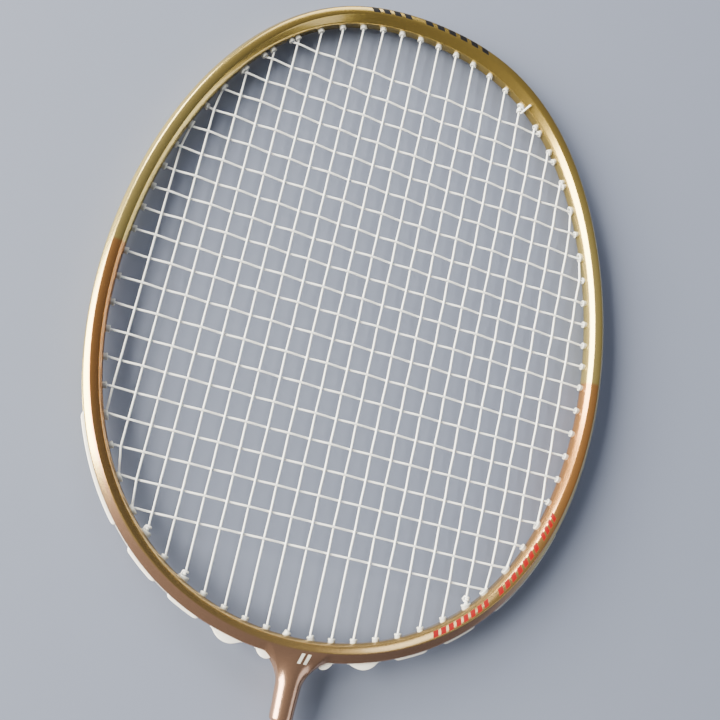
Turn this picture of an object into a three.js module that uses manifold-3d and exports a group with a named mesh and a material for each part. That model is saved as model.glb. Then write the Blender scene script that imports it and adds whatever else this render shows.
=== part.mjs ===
// A badminton racket: a hollow head frame strung with two strings through nylon grommets,
// on a hollow shaft with a wooden handle.
// The origin is the centre of the butt end. +Y runs along the racket to the tip of the head,
// +X across it and +Z square to the string bed. Millimetres.
import * as THREE from 'three';
import { mergeVertices } from 'three/addons/utils/BufferGeometryUtils.js';
import Module from 'manifold-3d';

const wasm = await Module();
wasm.setup();

// Driving dimensions
const racketLength = 675;
const rimWidth = 6.9; // from the inner wall of the head to its outer wall
const rimHalfHeight = 4.9;
const bedToTip = 123;
const bedY = racketLength - bedToTip; // middle of the string bed
const grooveFloor = 5.4; // outward from the inner wall
const grooveHalfWidth = 1.6;
const mainCount = 22;
const mainSpacing = 8.05;
const firstRowY = 93.8; // the top cross string, above the middle of the bed
// Cross strings lie closest at the sweet spot: [number of gaps, size of each]
const rowGaps = [[1, 10], [6, 9.3], [4, 8.75], [9, 9.65]];
const stringSide = 0.6; // a square of the area of a 0.69 mm string
const weaveLift = 0.85; // cross strings over and under the mains
const stringAside = 0.45; // from the middle plane, where two strings run side by side
const firstLayer = 6.4; // height of the strings in the groove, outward from the inner wall
const secondLayer = 7.25; // tie-off runs lie on the strings already in the groove
const neckEndY = -152.5;
const shaftRadius = 3.55;
const shaftBoreRadius = 2.3;
const shaftInHandleY = 120.4;
const shaftTopY = bedY - 134.4;
const handleAspect = 1.1; // the handle is wider across the string bed than through it
const coreFlat = 10; // half the distance across the flats of the wooden core
const gripFlat = 12;
const gripTopY = 178;
const tapeLowY = 166; // the grip is pressed in a little under the finishing tape
const coneTopY = 222;
const gap = 0.3;

// Solids

// Positions are rounded to a ten-thousandth, so that halves which meet share their points
function solid(geometry) {
  const bare = geometry.clone();
  bare.deleteAttribute('normal');
  bare.deleteAttribute('uv');
  const merged = mergeVertices(bare, 1e-4);
  return new wasm.Manifold(new wasm.Mesh({
    numProp: 3,
    vertProperties: Float32Array.from(merged.attributes.position.array, (v) => Math.round(v * 1e4) / 1e4),
    triVerts: new Uint32Array(merged.index.array),
  }));
}

function join(solids) {
  return solids.reduce((whole, piece) => whole.add(piece));
}

function cut(body, tools) {
  return tools.length ? body.subtract(join(tools)) : body;
}

function geometryOf(body) {
  const mesh = body.getMesh();
  const geometry = new THREE.BufferGeometry();
  geometry.setAttribute('position', new THREE.BufferAttribute(new Float32Array(mesh.vertProperties), 3));
  geometry.setIndex(new THREE.BufferAttribute(new Uint32Array(mesh.triVerts), 1));
  geometry.computeVertexNormals();
  return geometry;
}

const racket = new THREE.Group();

function addPart(name, body, material) {
  const mesh = new THREE.Mesh(geometryOf(body), material);
  mesh.name = name;
  racket.add(mesh);
}

function finish(color, roughness, metalness) {
  return new THREE.MeshStandardMaterial({ color, roughness, metalness });
}

const lacquer = finish('#a8763c', 0.3, 0.7);
const carbon = finish('#6b4f45', 0.35, 0.5);
const alloy = finish('#b8bcc0', 0.4, 1);
const nylon = finish('#eef0ee', 0.45, 0);
const gut = finish('#f2f0e6', 0.4, 0);
const wood = finish('#c79a62', 0.7, 0);
const plastic = finish('#2b2b2d', 0.45, 0);
const polyurethane = finish('#3a3c40', 0.8, 0);
const tape = finish('#1c1c1e', 0.6, 0);
const steel = finish('#c9ccd0', 0.3, 1);

function box(width, length, height, x, y, z) {
  const geometry = new THREE.BoxGeometry(width, length, height);
  geometry.translate(x, y, z);
  return solid(geometry);
}

function cylinder(radius, fromY, toY, sides) {
  const geometry = new THREE.CylinderGeometry(radius, radius, toY - fromY, sides);
  geometry.translate(0, (fromY + toY) / 2, 0);
  return solid(geometry);
}

// The rim: its inner wall is a short sum of harmonics of an angle that is 0 at the tip of the
// head, positive on the right side, negative on the left, and half a turn at the throat.

function rimShape(angle) {
  return {
    x: 89.4 * Math.sin(angle) - 11.9 * Math.sin(2 * angle) - 1.6 * Math.sin(3 * angle),
    y: 6.7 + 125.8 * Math.cos(angle) - 10.9 * Math.cos(2 * angle) - 5.5 * Math.cos(3 * angle),
    dx: 89.4 * Math.cos(angle) - 23.8 * Math.cos(2 * angle) - 4.8 * Math.cos(3 * angle),
    dy: -125.8 * Math.sin(angle) + 21.8 * Math.sin(2 * angle) + 16.5 * Math.sin(3 * angle),
  };
}

function rimPoint(angle, outward = 0, z = 0) {
  const { x, y, dx, dy } = rimShape(angle);
  const speed = Math.hypot(dx, dy);
  return new THREE.Vector3(x - (dy / speed) * outward, bedY + y + (dx / speed) * outward, z);
}

function angleAlong(angle, distance) {
  const { dx, dy } = rimShape(angle);
  return angle + distance / Math.hypot(dx, dy);
}

// Runs anticlockwise, seen from +Z, along the inner wall
class RimLine extends THREE.Curve {
  constructor(fromAngle, toAngle) {
    super();
    this.fromAngle = fromAngle;
    this.toAngle = toAngle;
    this.arcLengthDivisions = 400;
  }

  getPoint(t, target = new THREE.Vector3()) {
    return target.copy(rimPoint(THREE.MathUtils.lerp(this.fromAngle, this.toAngle, t)));
  }

  getTangent(t, target = new THREE.Vector3()) {
    const { dx, dy } = rimShape(THREE.MathUtils.lerp(this.fromAngle, this.toAngle, t));
    return target.set(-dx, -dy, 0).normalize();
  }
}

// A section's points are [outward from the inner wall, height], top half only; its lower half
// is the mirror image.
function sectionShape(upperHalf) {
  const lowerHalf = upperHalf.map(([outward, height]) => [outward, -height]).reverse();
  const corners = [...upperHalf, ...lowerHalf];
  return new THREE.Shape(corners.map(([outward, height]) => new THREE.Vector2(-height, -outward)));
}

function sweepRim(upperHalf, fromAngle, toAngle, steps) {
  const extrudePath = new RimLine(fromAngle, toAngle);
  return solid(new THREE.ExtrudeGeometry(sectionShape(upperHalf), { extrudePath, steps }));
}

// A flat patch along the rim, between two heights outward that may vary along it
function rimPatch(fromAngle, toAngle, low, high, halfHeight, pieces) {
  const shares = Array.from({ length: pieces + 1 }, (_, i) => i / pieces);
  const edge = (height) => shares.map((share) => {
    const angle = THREE.MathUtils.lerp(fromAngle, toAngle, share);
    const point = rimPoint(angle, height(share));
    return new THREE.Vector2(point.x, point.y);
  });
  const shape = new THREE.Shape([...edge(low), ...edge(high).reverse()]);
  const geometry = new THREE.ExtrudeGeometry(shape, { depth: 2 * halfHeight, bevelEnabled: false });
  geometry.translate(0, 0, -halfHeight);
  return solid(geometry);
}

function solveAngle(difference, low, high) {
  for (let i = 0; i < 50; i += 1) {
    const middle = (low + high) / 2;
    if (difference(middle) > 0) high = middle;
    else low = middle;
  }
  return low;
}

const widestAngle = solveAngle((angle) => -rimShape(angle).dx, 1, 3);

// String holes. Each runs square to the rim from its inner to its outer wall, except those of the
// mains at the throat. They lean towards the strings' line, and the two beside the neck lean
// apart to clear it.

const mainX = Array.from({ length: mainCount }, (_, i) => (i - (mainCount - 1) / 2) * mainSpacing);
const rowY = [firstRowY];
for (const [count, size] of rowGaps) {
  for (let i = 0; i < count; i += 1) rowY.push(rowY.at(-1) - size);
}

function makeHole(angle, exitAngle = angle) {
  const inner = rimPoint(angle);
  const direction = rimPoint(exitAngle, rimWidth).sub(inner).normalize();
  const square = rimPoint(angle, 1).sub(inner);
  const perOutward = 1 / direction.dot(square);
  const at = (outward, z = 0) => inner.clone().addScaledVector(direction, outward * perOutward).setZ(z);
  return { angle, exitAngle, direction, at, users: 0 };
}

// A string runs straight to the lip of its barrel, just inside the rim
const lipOutward = -1.4;
const holeLean = 0.6; // throat holes lean between the strings' line, 0, and square to the rim, 1

function lip(angle, exitAngle = angle) {
  const { x, y } = makeHole(angle, exitAngle).at(lipOutward);
  return { x, y: y - bedY };
}

const sides = [-1, 1];
const rowHoles = {};
const topHoles = {};
const bottomHoles = {};
const outerMains = { top: { 9: 3, 10: 5 }, bottom: { 8: 20, 9: 19, 10: 17 } };
const throatExitX = 7.8;
const halfMains = mainCount / 2;
for (const side of sides) {
  rowHoles[side] = rowY.map((y) => makeHole(side * solveAngle((a) => y - lip(a).y, 0, Math.PI)));
  topHoles[side] = [];
  bottomHoles[side] = [];
  for (let i = 0; i < halfMains; i += 1) {
    const x = mainX[halfMains + i];
    const top = solveAngle((a) => lip(a).x - x, 0, widestAngle);
    const throatExit = solveAngle((a) => throatExitX - rimShape(a).x, widestAngle, Math.PI);
    const square = solveAngle((a) => x - lip(a).x, widestAngle, Math.PI);
    const mouthX = THREE.MathUtils.lerp(x, rimPoint(square, rimWidth).x, holeLean);
    const leaning = solveAngle((a) => mouthX - rimPoint(a, rimWidth).x, widestAngle, Math.PI);
    const exit = i === 0 ? throatExit : leaning;
    const bottom = solveAngle((a) => x - lip(a, exit).x, widestAngle, Math.PI);
    const topRow = outerMains.top[i];
    const bottomRow = outerMains.bottom[i];
    topHoles[side].push(topRow === undefined ? makeHole(side * top) : rowHoles[side][topRow]);
    bottomHoles[side].push(
      bottomRow === undefined ? makeHole(side * bottom, side * exit) : rowHoles[side][bottomRow],
    );
  }
}

function sideOf(main) {
  return mainX[main] < 0 ? -1 : 1;
}

function fromMiddle(main) {
  return main < halfMains ? halfMains - 1 - main : main - halfMains;
}

function topHole(main) {
  return topHoles[sideOf(main)][fromMiddle(main)];
}

function bottomHole(main) {
  return bottomHoles[sideOf(main)][fromMiddle(main)];
}

// Tie-offs, by the number of the main string whose hole they share, counted from the left
const mainTieLeft = 5;
const mainTieRight = 18;
const crossTieTop = 16;
const crossTieBottom = 3;

for (let main = 0; main < mainCount; main += 1) {
  topHole(main).users += 1;
  bottomHole(main).users += 1;
}
for (const hole of [...rowHoles[-1], ...rowHoles[1]]) hole.users += 1;
bottomHole(mainTieLeft).users += 1;
bottomHole(mainTieRight).users += 1;
topHole(crossTieTop).users += 1;
bottomHole(crossTieBottom).users += 1;

const holes = new Set();
for (const side of sides) {
  for (const hole of [...rowHoles[side], ...topHoles[side], ...bottomHoles[side]]) holes.add(hole);
}

// Half sizes of a barrel, its bore and its hole in the rim, for one string and for two
function barrelHalf(hole) {
  return hole.users > 1 ? 1.35 : 1.15;
}

function boreHalf(hole) {
  return hole.users > 1 ? 0.98 : 0.88;
}

function barrelReach(hole) {
  return hole.users > 1 ? 1.2 : hole.reach ?? 1.6;
}

// The outermost mains pass close to the rim at these rows, so their barrels are short
for (const side of sides) rowHoles[side][6].reach = 0.8;

function holeBar(hole, half, fromOutward, toOutward) {
  const start = hole.at(fromOutward);
  const end = hole.at(toOutward);
  const geometry = new THREE.BoxGeometry(2 * half, start.distanceTo(end), 2 * half);
  geometry.rotateZ(Math.atan2(hole.direction.y, hole.direction.x) - Math.PI / 2);
  geometry.translate((start.x + end.x) / 2, (start.y + end.y) / 2, 0);
  return solid(geometry);
}

// Grommets

function flatHeight(height) {
  return () => height;
}

const baseLow = grooveFloor + 0.15;
const baseHigh = 5.85;
const baseHalf = 1.2;
const baseMargin = 1.7;

function grommet(members, isHumped) {
  const angles = members.map((hole) => hole.exitAngle);
  const from = angleAlong(Math.min(...angles), -baseMargin);
  const to = angleAlong(Math.max(...angles), baseMargin);
  const length = rimPoint(from).distanceTo(rimPoint(to));
  const pieces = Math.max(2, Math.ceil(length / 6));
  const barrels = members.map((hole) => holeBar(hole, barrelHalf(hole), -barrelReach(hole), baseHigh - 0.1));
  const bores = members.map((hole) => holeBar(hole, boreHalf(hole), -4, isHumped ? 8.3 : 7));
  if (!isHumped) {
    const base = rimPatch(from, to, flatHeight(baseLow), flatHeight(baseHigh), baseHalf, pieces);
    return cut(join([base, ...barrels]), bores);
  }
  const moon = rimPatch(from, to, flatHeight(baseLow), humpHeight, baseHalf, humpPieces);
  const channel = rimPatch(from, to, channelHeight, flatHeight(12), channelHalf, humpPieces);
  return cut(join([moon, ...barrels]), [channel, ...bores]);
}

const humpPieces = 8;
const channelHalf = 0.55;

function humpHeight(share) {
  return baseHigh + 3.9 * Math.sin(Math.PI * share);
}

function channelHeight(share) {
  return baseHigh + 1.4 + Math.sin(Math.PI * share);
}

// Holes from the middle of the crown out to the throat, as they share a strip
const crownEnd = 5;
const cornerRows = [0, 1, 2, 3];
const firstSingleRow = 4;
const lastSingleRow = 16;
const lowerRows = [17, 18, 19, 20];
const crown = sides.flatMap((side) => topHoles[side].slice(0, crownEnd + 1));
addPart('crown_grommet_strip', grommet(crown), nylon);
for (const side of sides) {
  const word = side < 0 ? 'left' : 'right';
  const corner = [...topHoles[side].slice(crownEnd + 1, 9), ...cornerRows.map((row) => rowHoles[side][row])];
  addPart(`upper_grommet_strip_${word}`, grommet(corner), nylon);
  for (let row = firstSingleRow; row <= lastSingleRow; row += 1) {
    addPart(`side_grommet_${word}_${row - firstSingleRow + 1}`, grommet([rowHoles[side][row]]), nylon);
  }
  addPart(`lower_grommet_strip_${word}`, grommet(lowerRows.map((row) => rowHoles[side][row])), nylon);
  addPart(`flat_double_grommet_${word}_1`, grommet(bottomHoles[side].slice(6, 8)), nylon);
  addPart(`flat_double_grommet_${word}_2`, grommet(bottomHoles[side].slice(4, 6)), nylon);
  addPart(`throat_grommet_${word}_1`, grommet(bottomHoles[side].slice(2, 4), true), nylon);
  addPart(`throat_grommet_${word}_2`, grommet(bottomHoles[side].slice(0, 2), true), nylon);
}

// Head frame: the rim is swept in two halves that meet at the tip and the throat

const rimSection = [
  [0, 1.7], [1.9, 4.6], [3.6, rimHalfHeight], [5.3, 4.6], [rimWidth, 2],
  [rimWidth, grooveHalfWidth], [grooveFloor, grooveHalfWidth],
];
const cavitySection = [[1.1, 1.3], [2.3, 3.8], [4.4, 3.9]];
const rimSteps = 42;

function wholeRim(upperHalf) {
  return join([
    sweepRim(upperHalf, Math.PI, 0, rimSteps),
    sweepRim(upperHalf, 0, -Math.PI, rimSteps),
  ]);
}

// Each ring of the neck is an oval: [y from the middle of the bed, half width, half height]
const neckRings = [
  [neckEndY, 4.05, 4.05], [-150, 4.3, 4.3], [-142, 4.6, 4.45], [-137, 5.2, 4.6], [-134.2, 6.1, 4.8],
  [-132.6, 7.2, 4.85], [-131.4, 8.2, 4.8], [-129.5, 9.5, 4.3], [-126.2, 9, 3.2],
];

function ovalLathe(rings, segments) {
  const profile = rings.map(([y]) => new THREE.Vector2(1, y));
  profile.unshift(new THREE.Vector2(0, rings[0][0]));
  profile.push(new THREE.Vector2(0, rings.at(-1)[0]));
  const geometry = new THREE.LatheGeometry(profile, segments);
  const position = geometry.attributes.position;
  for (let i = 0; i < position.count; i += 1) {
    const ring = rings[(i % profile.length) - 1];
    if (ring) {
      position.setX(i, position.getX(i) * ring[1]);
      position.setZ(i, position.getZ(i) * ring[2]);
    }
  }
  geometry.translate(0, bedY, 0);
  return solid(geometry);
}

const neckBoreRadius = shaftRadius + 0.25;
const stemBoreRadius = 2.4;
const neckBoreTopY = bedY - 134;
const cavityOuterY = bedY - 127;
const throatClearances = sides.map((side) => {
  const [lean, next] = bottomHoles[side].map((hole) => hole.exitAngle);
  const from = angleAlong(Math.min(lean, next), -baseMargin - gap);
  const to = angleAlong(Math.max(lean, next), baseMargin + gap);
  const height = (share) => humpHeight(share) + gap;
  return rimPatch(from, to, flatHeight(grooveFloor), height, grooveHalfWidth, humpPieces);
});
const rimCutters = [...holes].map((hole) => holeBar(hole, barrelHalf(hole) + 0.2, -0.8, 7.6));
const solidHead = join([wholeRim(rimSection), ovalLathe(neckRings, 16)]);
const headFrame = cut(solidHead, [
  wholeRim(cavitySection),
  cylinder(neckBoreRadius, bedY + neckEndY - 1, neckBoreTopY, 20),
  cylinder(stemBoreRadius, neckBoreTopY - 1, cavityOuterY, 12),
  ...throatClearances,
  ...rimCutters,
]);
addPart('head_frame', headFrame, lacquer);

// T-joint: a bar in the frame's hollow with a stem down into the shaft

const barSection = [[1.5, 1.1], [2.6, 3.4], [4, 3.5]];
const barEndX = 23;
const stemRadius = 1.9;
const barEndAngle = solveAngle((a) => barEndX - rimShape(a).x, widestAngle, Math.PI);
const bar = join([
  sweepRim(barSection, Math.PI, barEndAngle, 5),
  sweepRim(barSection, -barEndAngle, -Math.PI, 5),
]);
const barHoles = sides.flatMap((side) => bottomHoles[side].slice(0, 3));
const barCutters = barHoles.map((hole) => holeBar(hole, barrelHalf(hole) + gap, -1, 7));
const tJoint = cut(join([bar, cylinder(stemRadius, bedY - 157, bedY - 127, 12)]), barCutters);
addPart('t_joint', tJoint, alloy);

// Strings: each is one square-sectioned run along its whole route

class StringRoute extends THREE.Curve {
  constructor(points) {
    super();
    this.points = points;
  }

  indexAt(u) {
    return Math.round(u * (this.points.length - 1));
  }

  getPointAt(u, target = new THREE.Vector3()) {
    return target.copy(this.points[this.indexAt(u)]);
  }

  getTangentAt(u, target = new THREE.Vector3()) {
    const index = this.indexAt(u);
    const here = this.points[index];
    const before = this.points[index - 1];
    const after = this.points[index + 1];
    target.set(0, 0, 0);
    if (before) target.add(here.clone().sub(before).normalize());
    if (after) target.add(after.clone().sub(here).normalize());
    return target.normalize();
  }
}

function stringSolid(points) {
  const half = stringSide / 2;
  const square = new THREE.Shape([[-half, -half], [half, -half], [half, half], [-half, half]]
    .map(([x, y]) => new THREE.Vector2(x, y)));
  const extrudePath = new StringRoute(points);
  return solid(new THREE.ExtrudeGeometry(square, { extrudePath, steps: points.length - 1 }));
}

function grooveRun(fromHole, toHole, outward, z) {
  const from = fromHole.exitAngle;
  const to = toHole.exitAngle;
  const length = rimPoint(from).distanceTo(rimPoint(to));
  const pieces = Math.max(1, Math.ceil(length / 5));
  const points = [];
  for (let i = 1; i < pieces; i += 1) {
    points.push(rimPoint(THREE.MathUtils.lerp(from, to, i / pieces), outward, z));
  }
  return points;
}

// The string lies on the floor of a humped grommet's channel
function humpRun(fromHole, toHole) {
  const from = fromHole.exitAngle;
  const to = toHole.exitAngle;
  const start = angleAlong(from, -baseMargin * Math.sign(to - from));
  const end = angleAlong(to, baseMargin * Math.sign(to - from));
  const height = (angle) => channelHeight((angle - start) / (end - start)) + 0.5;
  const middles = [0.25, 0.5, 0.75].map((share) => {
    const angle = THREE.MathUtils.lerp(from, to, share);
    return rimPoint(angle, height(angle));
  });
  return [...throughHole(fromHole, 0, height(from)), ...middles, ...throughHole(toHole, 0, height(to)).reverse()];
}

// The points of one string in a hole, from the bed outwards
function throughHole(hole, aside, outward) {
  const z = hole.users > 1 ? aside : 0;
  return [hole.at(-barrelReach(hole) - 0.1, z), hole.at(outward, aside)];
}

function mainLoop(fromMain, toMain, holeOf) {
  const from = holeOf(fromMain);
  const to = holeOf(toMain);
  const isThroat = holeOf === bottomHole && fromMiddle(fromMain) < 4 && fromMiddle(toMain) < 4;
  if (isThroat) return humpRun(from, to);
  return [
    ...throughHole(from, -stringAside, firstLayer),
    ...grooveRun(from, to, firstLayer, -stringAside),
    ...throughHole(to, -stringAside, firstLayer).reverse(),
  ];
}

// Where a main crosses its first and last rows, inside the rim
function straightRun(main, isUpward) {
  const x = mainX[main];
  const highest = rowY[(outerMains.top[fromMiddle(main)] ?? rowAbove(topHole(main)) - 1) + 1];
  const lowest = rowY[(outerMains.bottom[fromMiddle(main)] ?? rowY.length) - 1];
  const ends = [new THREE.Vector3(x, bedY + lowest, 0), new THREE.Vector3(x, bedY + highest, 0)];
  return isUpward ? ends : ends.reverse();
}

// The first row that a main meets below its top hole
function rowAbove(hole) {
  const y = rimShape(hole.angle).y - 2.5;
  return rowY.findIndex((row) => row < y);
}

const tailLength = 3.4;

function tieOff(hole, aside, outward) {
  const tail = hole.at(-tailLength, 3 * aside);
  return [hole.at(outward, aside), hole.at(-barrelReach(hole) - 0.1, aside), tail];
}

const mainPoints = [
  ...tieOff(bottomHole(mainTieLeft), stringAside, secondLayer).reverse(),
  ...grooveRun(bottomHole(mainTieLeft), bottomHole(0), secondLayer, -stringAside),
  ...throughHole(bottomHole(0), -stringAside, secondLayer).reverse(),
];
for (let main = 0; main < mainCount; main += 1) {
  const isUpward = main % 2 === 0;
  mainPoints.push(...straightRun(main, isUpward));
  if (main < mainCount - 1) mainPoints.push(...mainLoop(main, main + 1, isUpward ? topHole : bottomHole));
}
const lastMain = mainCount - 1;
mainPoints.push(
  ...throughHole(bottomHole(lastMain), -stringAside, secondLayer),
  ...grooveRun(bottomHole(lastMain), bottomHole(mainTieRight), secondLayer, -stringAside),
  ...tieOff(bottomHole(mainTieRight), stringAside, secondLayer),
);

function crossRow(row, isRightward) {
  const reach = Math.abs(rimShape(rowHoles[1][row].angle).x) - 1.5;
  const shared = [];
  for (const end of ['top', 'bottom']) {
    for (const [main, sharedRow] of Object.entries(outerMains[end])) {
      if (sharedRow === row) shared.push(Number(main));
    }
  }
  const points = [];
  for (let main = 0; main < mainCount; main += 1) {
    const isCrossed = Math.abs(mainX[main]) < reach && !shared.includes(fromMiddle(main));
    const z = (main + row) % 2 === 0 ? weaveLift : -weaveLift;
    if (isCrossed) points.push(new THREE.Vector3(mainX[main], bedY + rowY[row], z));
  }
  return isRightward ? points : points.reverse();
}

const crossPoints = [
  ...tieOff(topHole(crossTieTop), stringAside, secondLayer).reverse(),
  ...grooveRun(topHole(crossTieTop), rowHoles[1][0], secondLayer, stringAside),
  ...throughHole(rowHoles[1][0], stringAside, secondLayer).reverse(),
];
const lastRow = rowY.length - 1;
for (let row = 0; row <= lastRow; row += 1) {
  const isRightward = row % 2 === 1;
  const side = isRightward ? 1 : -1;
  crossPoints.push(...crossRow(row, isRightward));
  if (row < lastRow) {
    const from = rowHoles[side][row];
    const to = rowHoles[side][row + 1];
    crossPoints.push(
      ...throughHole(from, stringAside, firstLayer),
      ...grooveRun(from, to, firstLayer, stringAside),
      ...throughHole(to, stringAside, firstLayer).reverse(),
    );
  }
}
crossPoints.push(
  ...throughHole(rowHoles[-1][lastRow], stringAside, secondLayer),
  ...grooveRun(rowHoles[-1][lastRow], bottomHole(crossTieBottom), secondLayer, stringAside),
  ...tieOff(bottomHole(crossTieBottom), stringAside, secondLayer),
);

// A tie-off knot on the tail of a string
function knot(point) {
  const geometry = new THREE.IcosahedronGeometry(0.85, 0);
  geometry.translate(point.x, point.y, point.z);
  return solid(geometry);
}

const mainString = join([stringSolid(mainPoints), knot(mainPoints[0]), knot(mainPoints.at(-1))]);
const crossString = join([stringSolid(crossPoints), knot(crossPoints[0]), knot(crossPoints.at(-1))]);
addPart('main_string', mainString, gut);
addPart('cross_string', crossString, gut);

// Handle pieces turn about the shaft. A profile's points are [radius to the flats, y, and how
// far from round to octagonal]. An eight-sided piece has points only at its corners, and a
// sixteen-sided one at the middles of its flats too.
function handleLathe(profile, segments) {
  const cornerFactor = 1 / Math.cos(Math.PI / 8) - 1;
  const points = profile.map(([radius, y]) => new THREE.Vector2(radius, y));
  const geometry = new THREE.LatheGeometry(points, segments, Math.PI / 8);
  const position = geometry.attributes.position;
  const cornerEvery = segments / 8;
  for (let i = 0; i < position.count; i += 1) {
    const octagonal = profile[i % points.length][2] ?? 1;
    const isCorner = Math.floor(i / points.length) % cornerEvery === 0;
    const factor = isCorner ? 1 + octagonal * cornerFactor : 1;
    position.setX(i, position.getX(i) * factor * (1 + octagonal * (handleAspect - 1)));
    position.setZ(i, position.getZ(i) * factor);
  }
  return solid(geometry);
}

const shaft = handleLathe([
  [shaftBoreRadius, shaftInHandleY, 0], [shaftRadius, shaftInHandleY, 0],
  [shaftRadius, shaftTopY, 0], [shaftBoreRadius, shaftTopY, 0], [shaftBoreRadius, shaftInHandleY, 0],
], 16);
addPart('shaft', shaft, carbon);

const spigotBottomY = 165;
const spigotFlat = 8.6;
const coreTopY = 177.4;
const capPlate = 2.6;
const capSkirtTop = 11;
const capSkirtFlat = 11.5;

// A staple lies across one flat of the cap with its legs in the wood
function staple(side, clearance) {
  const grow = 2 * clearance;
  const crownX = side * 12.15;
  const legX = side * 9.25;
  return join([
    box(0.7 + grow, 0.9 + grow, 7 + grow, crownX, 7, 0),
    box(6.5 + grow, 0.9 + grow, 0.9 + grow, legX, 7, 3.05),
    box(6.5 + grow, 0.9 + grow, 0.9 + grow, legX, 7, -3.05),
  ]);
}

const stapleSlots = sides.map((side) => staple(side, 0.25));
const coreBlank = handleLathe([
  [0, capPlate + gap], [coreFlat, capPlate + gap], [coreFlat, spigotBottomY], [spigotFlat, spigotBottomY],
  [spigotFlat, coreTopY], [0, coreTopY],
], 8);
const shaftBore = cylinder(shaftRadius + gap, shaftInHandleY - gap, coreTopY + 1, 20);
addPart('handle_core', cut(coreBlank, [shaftBore, ...stapleSlots]), wood);

const badgeRadius = 9.2;
const badgeThickness = 0.9;
const capBlank = handleLathe([
  [0, 0], [12.6, 0], [13.2, 0.8], [13.2, capPlate], [capSkirtFlat, capPlate], [capSkirtFlat, capSkirtTop],
  [coreFlat + gap, capSkirtTop], [coreFlat + gap, capPlate], [0, capPlate],
], 8);
const badgeRecess = cylinder(badgeRadius + gap, -1, badgeThickness + gap, 24);
addPart('butt_cap', cut(capBlank, [badgeRecess, ...stapleSlots]), plastic);
addPart('butt_badge', cylinder(badgeRadius, 0, badgeThickness, 24), plastic);
addPart('butt_cap_staple_left', staple(-1, 0), steel);
addPart('butt_cap_staple_right', staple(1, 0), steel);

const gripWrap = handleLathe([
  [capSkirtFlat + gap, 3], [13, 3], [13.3, 5], [13, 10], [12.25, 18], [gripFlat, 28], [gripFlat, tapeLowY - gap],
  [gripFlat - gap, tapeLowY - gap], [gripFlat - gap, gripTopY], [coreFlat + gap, gripTopY],
  [coreFlat + gap, 13.5], [capSkirtFlat + gap, capSkirtTop + 0.6], [capSkirtFlat + gap, 3],
], 8);
addPart('grip_wrap', gripWrap, polyurethane);

const cone = handleLathe([
  [spigotFlat + gap, 165.4], [coreFlat, 165.4], [coreFlat, gripTopY + gap], [11.6, gripTopY + gap],
  [11.6, 181], [9.9, 190, 0.8], [7.6, 202, 0.4], [5.8, 212, 0.15], [4.7, 220, 0], [4.5, coneTopY, 0],
  [shaftRadius + gap, coneTopY, 0], [shaftRadius + gap, 212, 0], [6, 198, 0.3], [8, 185, 0.8],
  [spigotFlat + gap, 178], [spigotFlat + gap, 165.4],
], 16);
addPart('cone', cone, plastic);

const finishingTape = handleLathe([
  [gripFlat, tapeLowY], [gripFlat + 0.5, tapeLowY], [gripFlat + 0.5, gripTopY + 0.5],
  [gripFlat, gripTopY + 0.5], [gripFlat, tapeLowY],
], 8);
addPart('grip_finishing_tape', finishingTape, tape);

export default racket;
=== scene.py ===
import math

import bmesh
import bpy
from mathutils import Matrix, Vector


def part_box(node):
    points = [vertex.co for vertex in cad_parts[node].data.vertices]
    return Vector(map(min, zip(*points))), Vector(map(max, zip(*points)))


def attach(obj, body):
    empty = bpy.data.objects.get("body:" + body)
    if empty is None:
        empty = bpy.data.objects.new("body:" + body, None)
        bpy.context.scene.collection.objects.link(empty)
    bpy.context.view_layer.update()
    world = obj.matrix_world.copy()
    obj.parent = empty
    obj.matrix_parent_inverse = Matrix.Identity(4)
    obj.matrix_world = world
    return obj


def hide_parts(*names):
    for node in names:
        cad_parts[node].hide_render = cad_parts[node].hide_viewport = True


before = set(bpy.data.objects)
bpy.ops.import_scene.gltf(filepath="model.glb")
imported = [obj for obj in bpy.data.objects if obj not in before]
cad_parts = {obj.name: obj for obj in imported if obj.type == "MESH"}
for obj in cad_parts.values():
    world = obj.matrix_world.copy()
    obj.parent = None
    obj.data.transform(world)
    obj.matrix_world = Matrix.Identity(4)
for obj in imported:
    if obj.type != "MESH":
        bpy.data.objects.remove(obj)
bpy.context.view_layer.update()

# ---------------------------------------------------------------------------------------------
# Camera: it looks down on the strung head from a little left of the middle and below it, close
# enough that only the head, the throat and the top of the shaft are in view.
MM = 0.001  # sizes are in millimetres, and Blender's units are metres
BED_TO_TIP = 123.0  # places on the head are counted from the middle of the bed
CAMERA_FROM_BED = Vector((-94.8, -108.4, 341.6))
CAMERA_LENS = 48.45
SENSOR_WIDTH = 36.0
NEAREST_SEEN = 0.01
camera_right = Vector((0.9270, 0.2100, 0.3107))
camera_back = Vector((-0.2598, -0.2381, 0.9359))


def show(thing):
    bpy.context.scene.collection.objects.link(thing)


bed_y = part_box("head_frame")[1].y / MM - BED_TO_TIP
camera_up = camera_back.cross(camera_right).normalized()
camera_right = camera_up.cross(camera_back).normalized()

camera_data = bpy.data.cameras.new("camera")
camera_data.lens = CAMERA_LENS
camera_data.sensor_width = SENSOR_WIDTH
camera_data.clip_start = NEAREST_SEEN
camera = bpy.data.objects.new("camera", camera_data)
camera_turn = Matrix((camera_right, camera_up, camera_back.normalized())).transposed()
camera_place = (CAMERA_FROM_BED + Vector((0, bed_y, 0))) * MM
camera.matrix_world = Matrix.Translation(camera_place) @ camera_turn.to_4x4()
show(camera)
bpy.context.scene.camera = camera

# ---------------------------------------------------------------------------------------------
# Studio: a plain pale floor. The racket lies on the lower edge of its grip's flare and on the
# tip of the head, so the floor leans by the small angle between them.


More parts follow.
